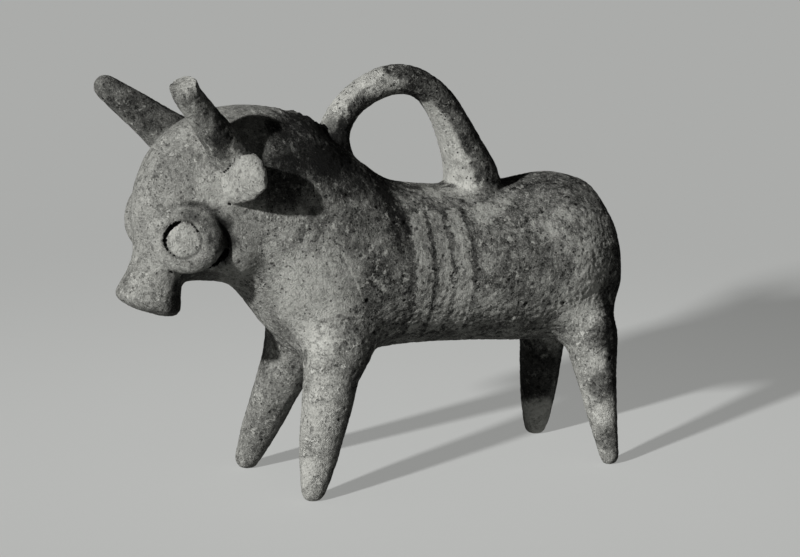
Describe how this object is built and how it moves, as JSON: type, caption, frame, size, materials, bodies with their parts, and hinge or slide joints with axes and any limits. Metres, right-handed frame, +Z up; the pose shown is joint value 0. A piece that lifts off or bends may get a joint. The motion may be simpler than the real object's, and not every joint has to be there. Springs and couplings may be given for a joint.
{
  "type": "ceramic bull vessel",
  "caption": "Hollow hand-built bull of matt clay that stands on cone legs, is held by a finger loop over its back, filled through a low collar on the neck and poured through its muzzle.",
  "frame": {"origin": "on the ground under the middle of the whole vessel", "axes": "+Z up, the head towards -X, the bull's left side towards -Y"},
  "size_m": [0.1844, 0.0686, 0.1392],
  "materials": {
    "flank_clay": "matt, pitted and encrusted, with traces of painted stripes",
    "head_clay": "matt, smoothed by hand",
    "relief_clay": "matt, smoothed by hand, a little worn",
    "loop_clay": "matt, with smooth pale patches",
    "leg_clay": "matt, with pale crust on the lower legs"
  },
  "bodies": {
    "root": {"body_shell": "flank_clay", "neck_shell": "flank_clay", "head_shell": "head_clay", "muzzle_spout": "head_clay", "filler_collar": "relief_clay", "finger_loop": "loop_clay", "leg_front_left": "leg_clay", "leg_front_right": "leg_clay", "leg_hind_left": "leg_clay", "leg_hind_right": "leg_clay", "horn_left": "head_clay", "horn_right": "head_clay", "ear_left": "relief_clay", "ear_right": "relief_clay", "eye_ring_left": "head_clay", "eye_ring_right": "head_clay", "eye_pellet_left": "relief_clay", "eye_pellet_right": "relief_clay", "tail": "leg_clay"}
  },
  "joints": []
}
